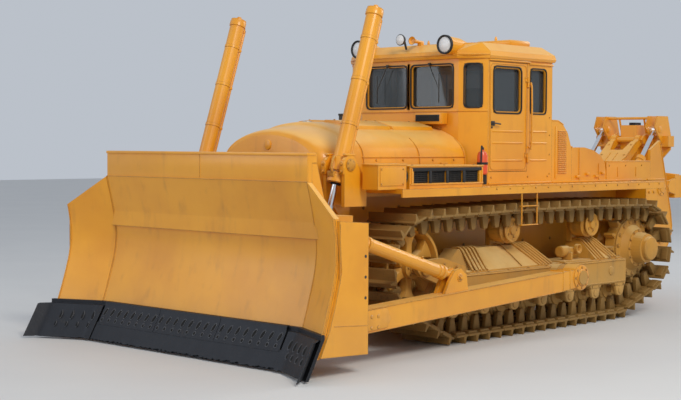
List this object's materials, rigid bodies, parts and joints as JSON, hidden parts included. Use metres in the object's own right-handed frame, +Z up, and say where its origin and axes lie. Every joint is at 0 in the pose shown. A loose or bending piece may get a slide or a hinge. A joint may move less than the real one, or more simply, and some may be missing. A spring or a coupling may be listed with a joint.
{
  "type": "tracked bulldozer with ripper",
  "caption": "Heavy tracked bulldozer with a half-U blade on push arms, two tall lift cylinders, a glazed cab with opening doors, and a raised four-bar ripper behind.",
  "frame": {"origin": "on the ground under the middle of the whole machine's box", "axes": "+X to the machine's left, +Y to its rear (the blade faces -Y), +Z up"},
  "size_m": [4.35, 9.2604, 3.7023],
  "materials": {
    "cab_glass": "clear glass",
    "dark_trim": "dark trim",
    "edge_steel": "dark bare steel",
    "rod_chrome": "hard chrome",
    "seat_fabric": "dark seat cloth",
    "track_steel": "painted cast steel, worn on the running faces",
    "worn_paint": "dusty worn paint",
    "yellow_paint": "weathered gloss paint"
  },
  "bodies": {
    "blade_group": {"blade": "yellow_paint", "brace_left": "yellow_paint", "brace_right": "yellow_paint", "cutting_edge": "edge_steel", "push_arm_left": "yellow_paint", "push_arm_right": "yellow_paint"},
    "tractor": {"cab_body": "yellow_paint", "cab_roof": "yellow_paint", "control_console": "dark_trim", "engine_block": "yellow_paint", "fender_left": "yellow_paint", "fender_right": "yellow_paint", "fuel_tank": "yellow_paint", "hood": "yellow_paint", "hull_frame": "yellow_paint", "idler_left": "worn_paint", "idler_right": "worn_paint", "louvre_housing": "yellow_paint", "radiator_guard": "yellow_paint", "rear_box": "yellow_paint", "rear_glass": "cab_glass", "ripper_mount": "yellow_paint", "seat_back": "seat_fabric", "seat_cushion": "seat_fabric", "seat_frame": "dark_trim", "side_box_left": "yellow_paint", "side_box_right": "yellow_paint", "side_glass_left": "cab_glass", "side_glass_right": "cab_glass", "sprocket_left": "worn_paint", "sprocket_right": "worn_paint", "track_frame_left": "worn_paint", "track_frame_right": "worn_paint", "track_left": "track_steel", "track_right": "track_steel", "windshield": "cab_glass"},
    "left_door": {"door_glass_left": "cab_glass", "door_left": "yellow_paint"},
    "right_door": {"door_glass_right": "cab_glass", "door_right": "yellow_paint"},
    "left_lift_barrel": {"lift_barrel_left": "yellow_paint"},
    "right_lift_barrel": {"lift_barrel_right": "yellow_paint"},
    "left_lift_rod": {"lift_rod_left": "rod_chrome"},
    "right_lift_rod": {"lift_rod_right": "rod_chrome"},
    "left_ripper_barrel": {"ripper_barrel_left": "yellow_paint"},
    "right_ripper_barrel": {"ripper_barrel_right": "yellow_paint"},
    "ripper_carrier": {"ripper_beam": "yellow_paint", "ripper_shank": "edge_steel"},
    "ripper_arms": {"ripper_frame": "yellow_paint"},
    "ripper_upper_link": {"ripper_link": "yellow_paint"},
    "left_ripper_rod": {"ripper_rod_left": "rod_chrome"},
    "right_ripper_rod": {"ripper_rod_right": "rod_chrome"}
  },
  "joints": [
    {"name": "blade_lift", "type": "hinge", "parent": "tractor", "child": "blade_group", "pos_m": [0, 0.22343, 0.65], "axis": [-1, 0, 0], "range_deg": [-5, 15]},
    {"name": "ripper_lift", "type": "hinge", "parent": "tractor", "child": "ripper_arms", "pos_m": [0, 3.39343, 0.95], "axis": [1, 0, 0], "range_deg": [-60, 0]},
    {"name": "ripper_link_swing", "type": "hinge", "parent": "tractor", "child": "ripper_upper_link", "pos_m": [0, 3.39343, 1.623], "axis": [1, 0, 0], "range_deg": [-60, 0]},
    {"name": "ripper_beam_level", "type": "hinge", "parent": "ripper_arms", "child": "ripper_carrier", "pos_m": [0, 4.26024, 1.62723], "axis": [-1, 0, 0], "range_deg": [-60, 0]},
    {"name": "left_door_swing", "type": "hinge", "parent": "tractor", "child": "left_door", "pos_m": [1.1135, 0.24193, 1.9], "axis": [0, 0, 1], "range_deg": [0, 100]},
    {"name": "left_lift_barrel_swing", "type": "hinge", "parent": "tractor", "child": "left_lift_barrel", "pos_m": [1.0945, -3.05658, 2], "axis": [-1, 0, 0], "range_deg": [-5.75, 17.25]},
    {"name": "left_lift_rod_slide", "type": "slide", "parent": "left_lift_barrel", "child": "left_lift_rod", "axis": [0, 0.3083, 0.9513], "range_m": [-0.30849, 0.92546]},
    {"name": "left_ripper_barrel_swing", "type": "hinge", "parent": "tractor", "child": "left_ripper_barrel", "pos_m": [0.44, 3.17342, 1.2], "axis": [1, 0, 0], "range_deg": [-39.9, 0]},
    {"name": "left_ripper_rod_slide", "type": "slide", "parent": "left_ripper_barrel", "child": "left_ripper_rod", "axis": [0, 0.6705, 0.7419], "range_m": [-0.36128, 0]},
    {"name": "right_door_swing", "type": "hinge", "parent": "tractor", "child": "right_door", "pos_m": [-1.1135, 0.24193, 1.9], "axis": [0, 0, -1], "range_deg": [0, 100]},
    {"name": "right_lift_barrel_swing", "type": "hinge", "parent": "tractor", "child": "right_lift_barrel", "pos_m": [-1.0945, -3.05658, 2], "axis": [-1, 0, 0], "range_deg": [-5.75, 17.25]},
    {"name": "right_lift_rod_slide", "type": "slide", "parent": "right_lift_barrel", "child": "right_lift_rod", "axis": [0, 0.3083, 0.9513], "range_m": [-0.30849, 0.92546]},
    {"name": "right_ripper_barrel_swing", "type": "hinge", "parent": "tractor", "child": "right_ripper_barrel", "pos_m": [-0.44, 3.17342, 1.2], "axis": [1, 0, 0], "range_deg": [-39.9, 0]},
    {"name": "right_ripper_rod_slide", "type": "slide", "parent": "right_ripper_barrel", "child": "right_ripper_rod", "axis": [0, 0.6705, 0.7419], "range_m": [-0.36128, 0]}
  ],
  "couplings": [
    {"joint": "ripper_link_swing", "follows": "ripper_lift", "ratio": 1},
    {"joint": "ripper_beam_level", "follows": "ripper_lift", "ratio": 1},
    {"joint": "left_lift_barrel_swing", "follows": "blade_lift", "ratio": 1.15},
    {"joint": "left_lift_rod_slide", "follows": "blade_lift", "m_per_rad": 3.535},
    {"joint": "left_ripper_barrel_swing", "follows": "ripper_lift", "ratio": 0.665},
    {"joint": "left_ripper_rod_slide", "follows": "ripper_lift", "m_per_rad": 0.345},
    {"joint": "right_lift_barrel_swing", "follows": "blade_lift", "ratio": 1.15},
    {"joint": "right_lift_rod_slide", "follows": "blade_lift", "m_per_rad": 3.535},
    {"joint": "right_ripper_barrel_swing", "follows": "ripper_lift", "ratio": 0.665},
    {"joint": "right_ripper_rod_slide", "follows": "ripper_lift", "m_per_rad": 0.345}
  ]
}
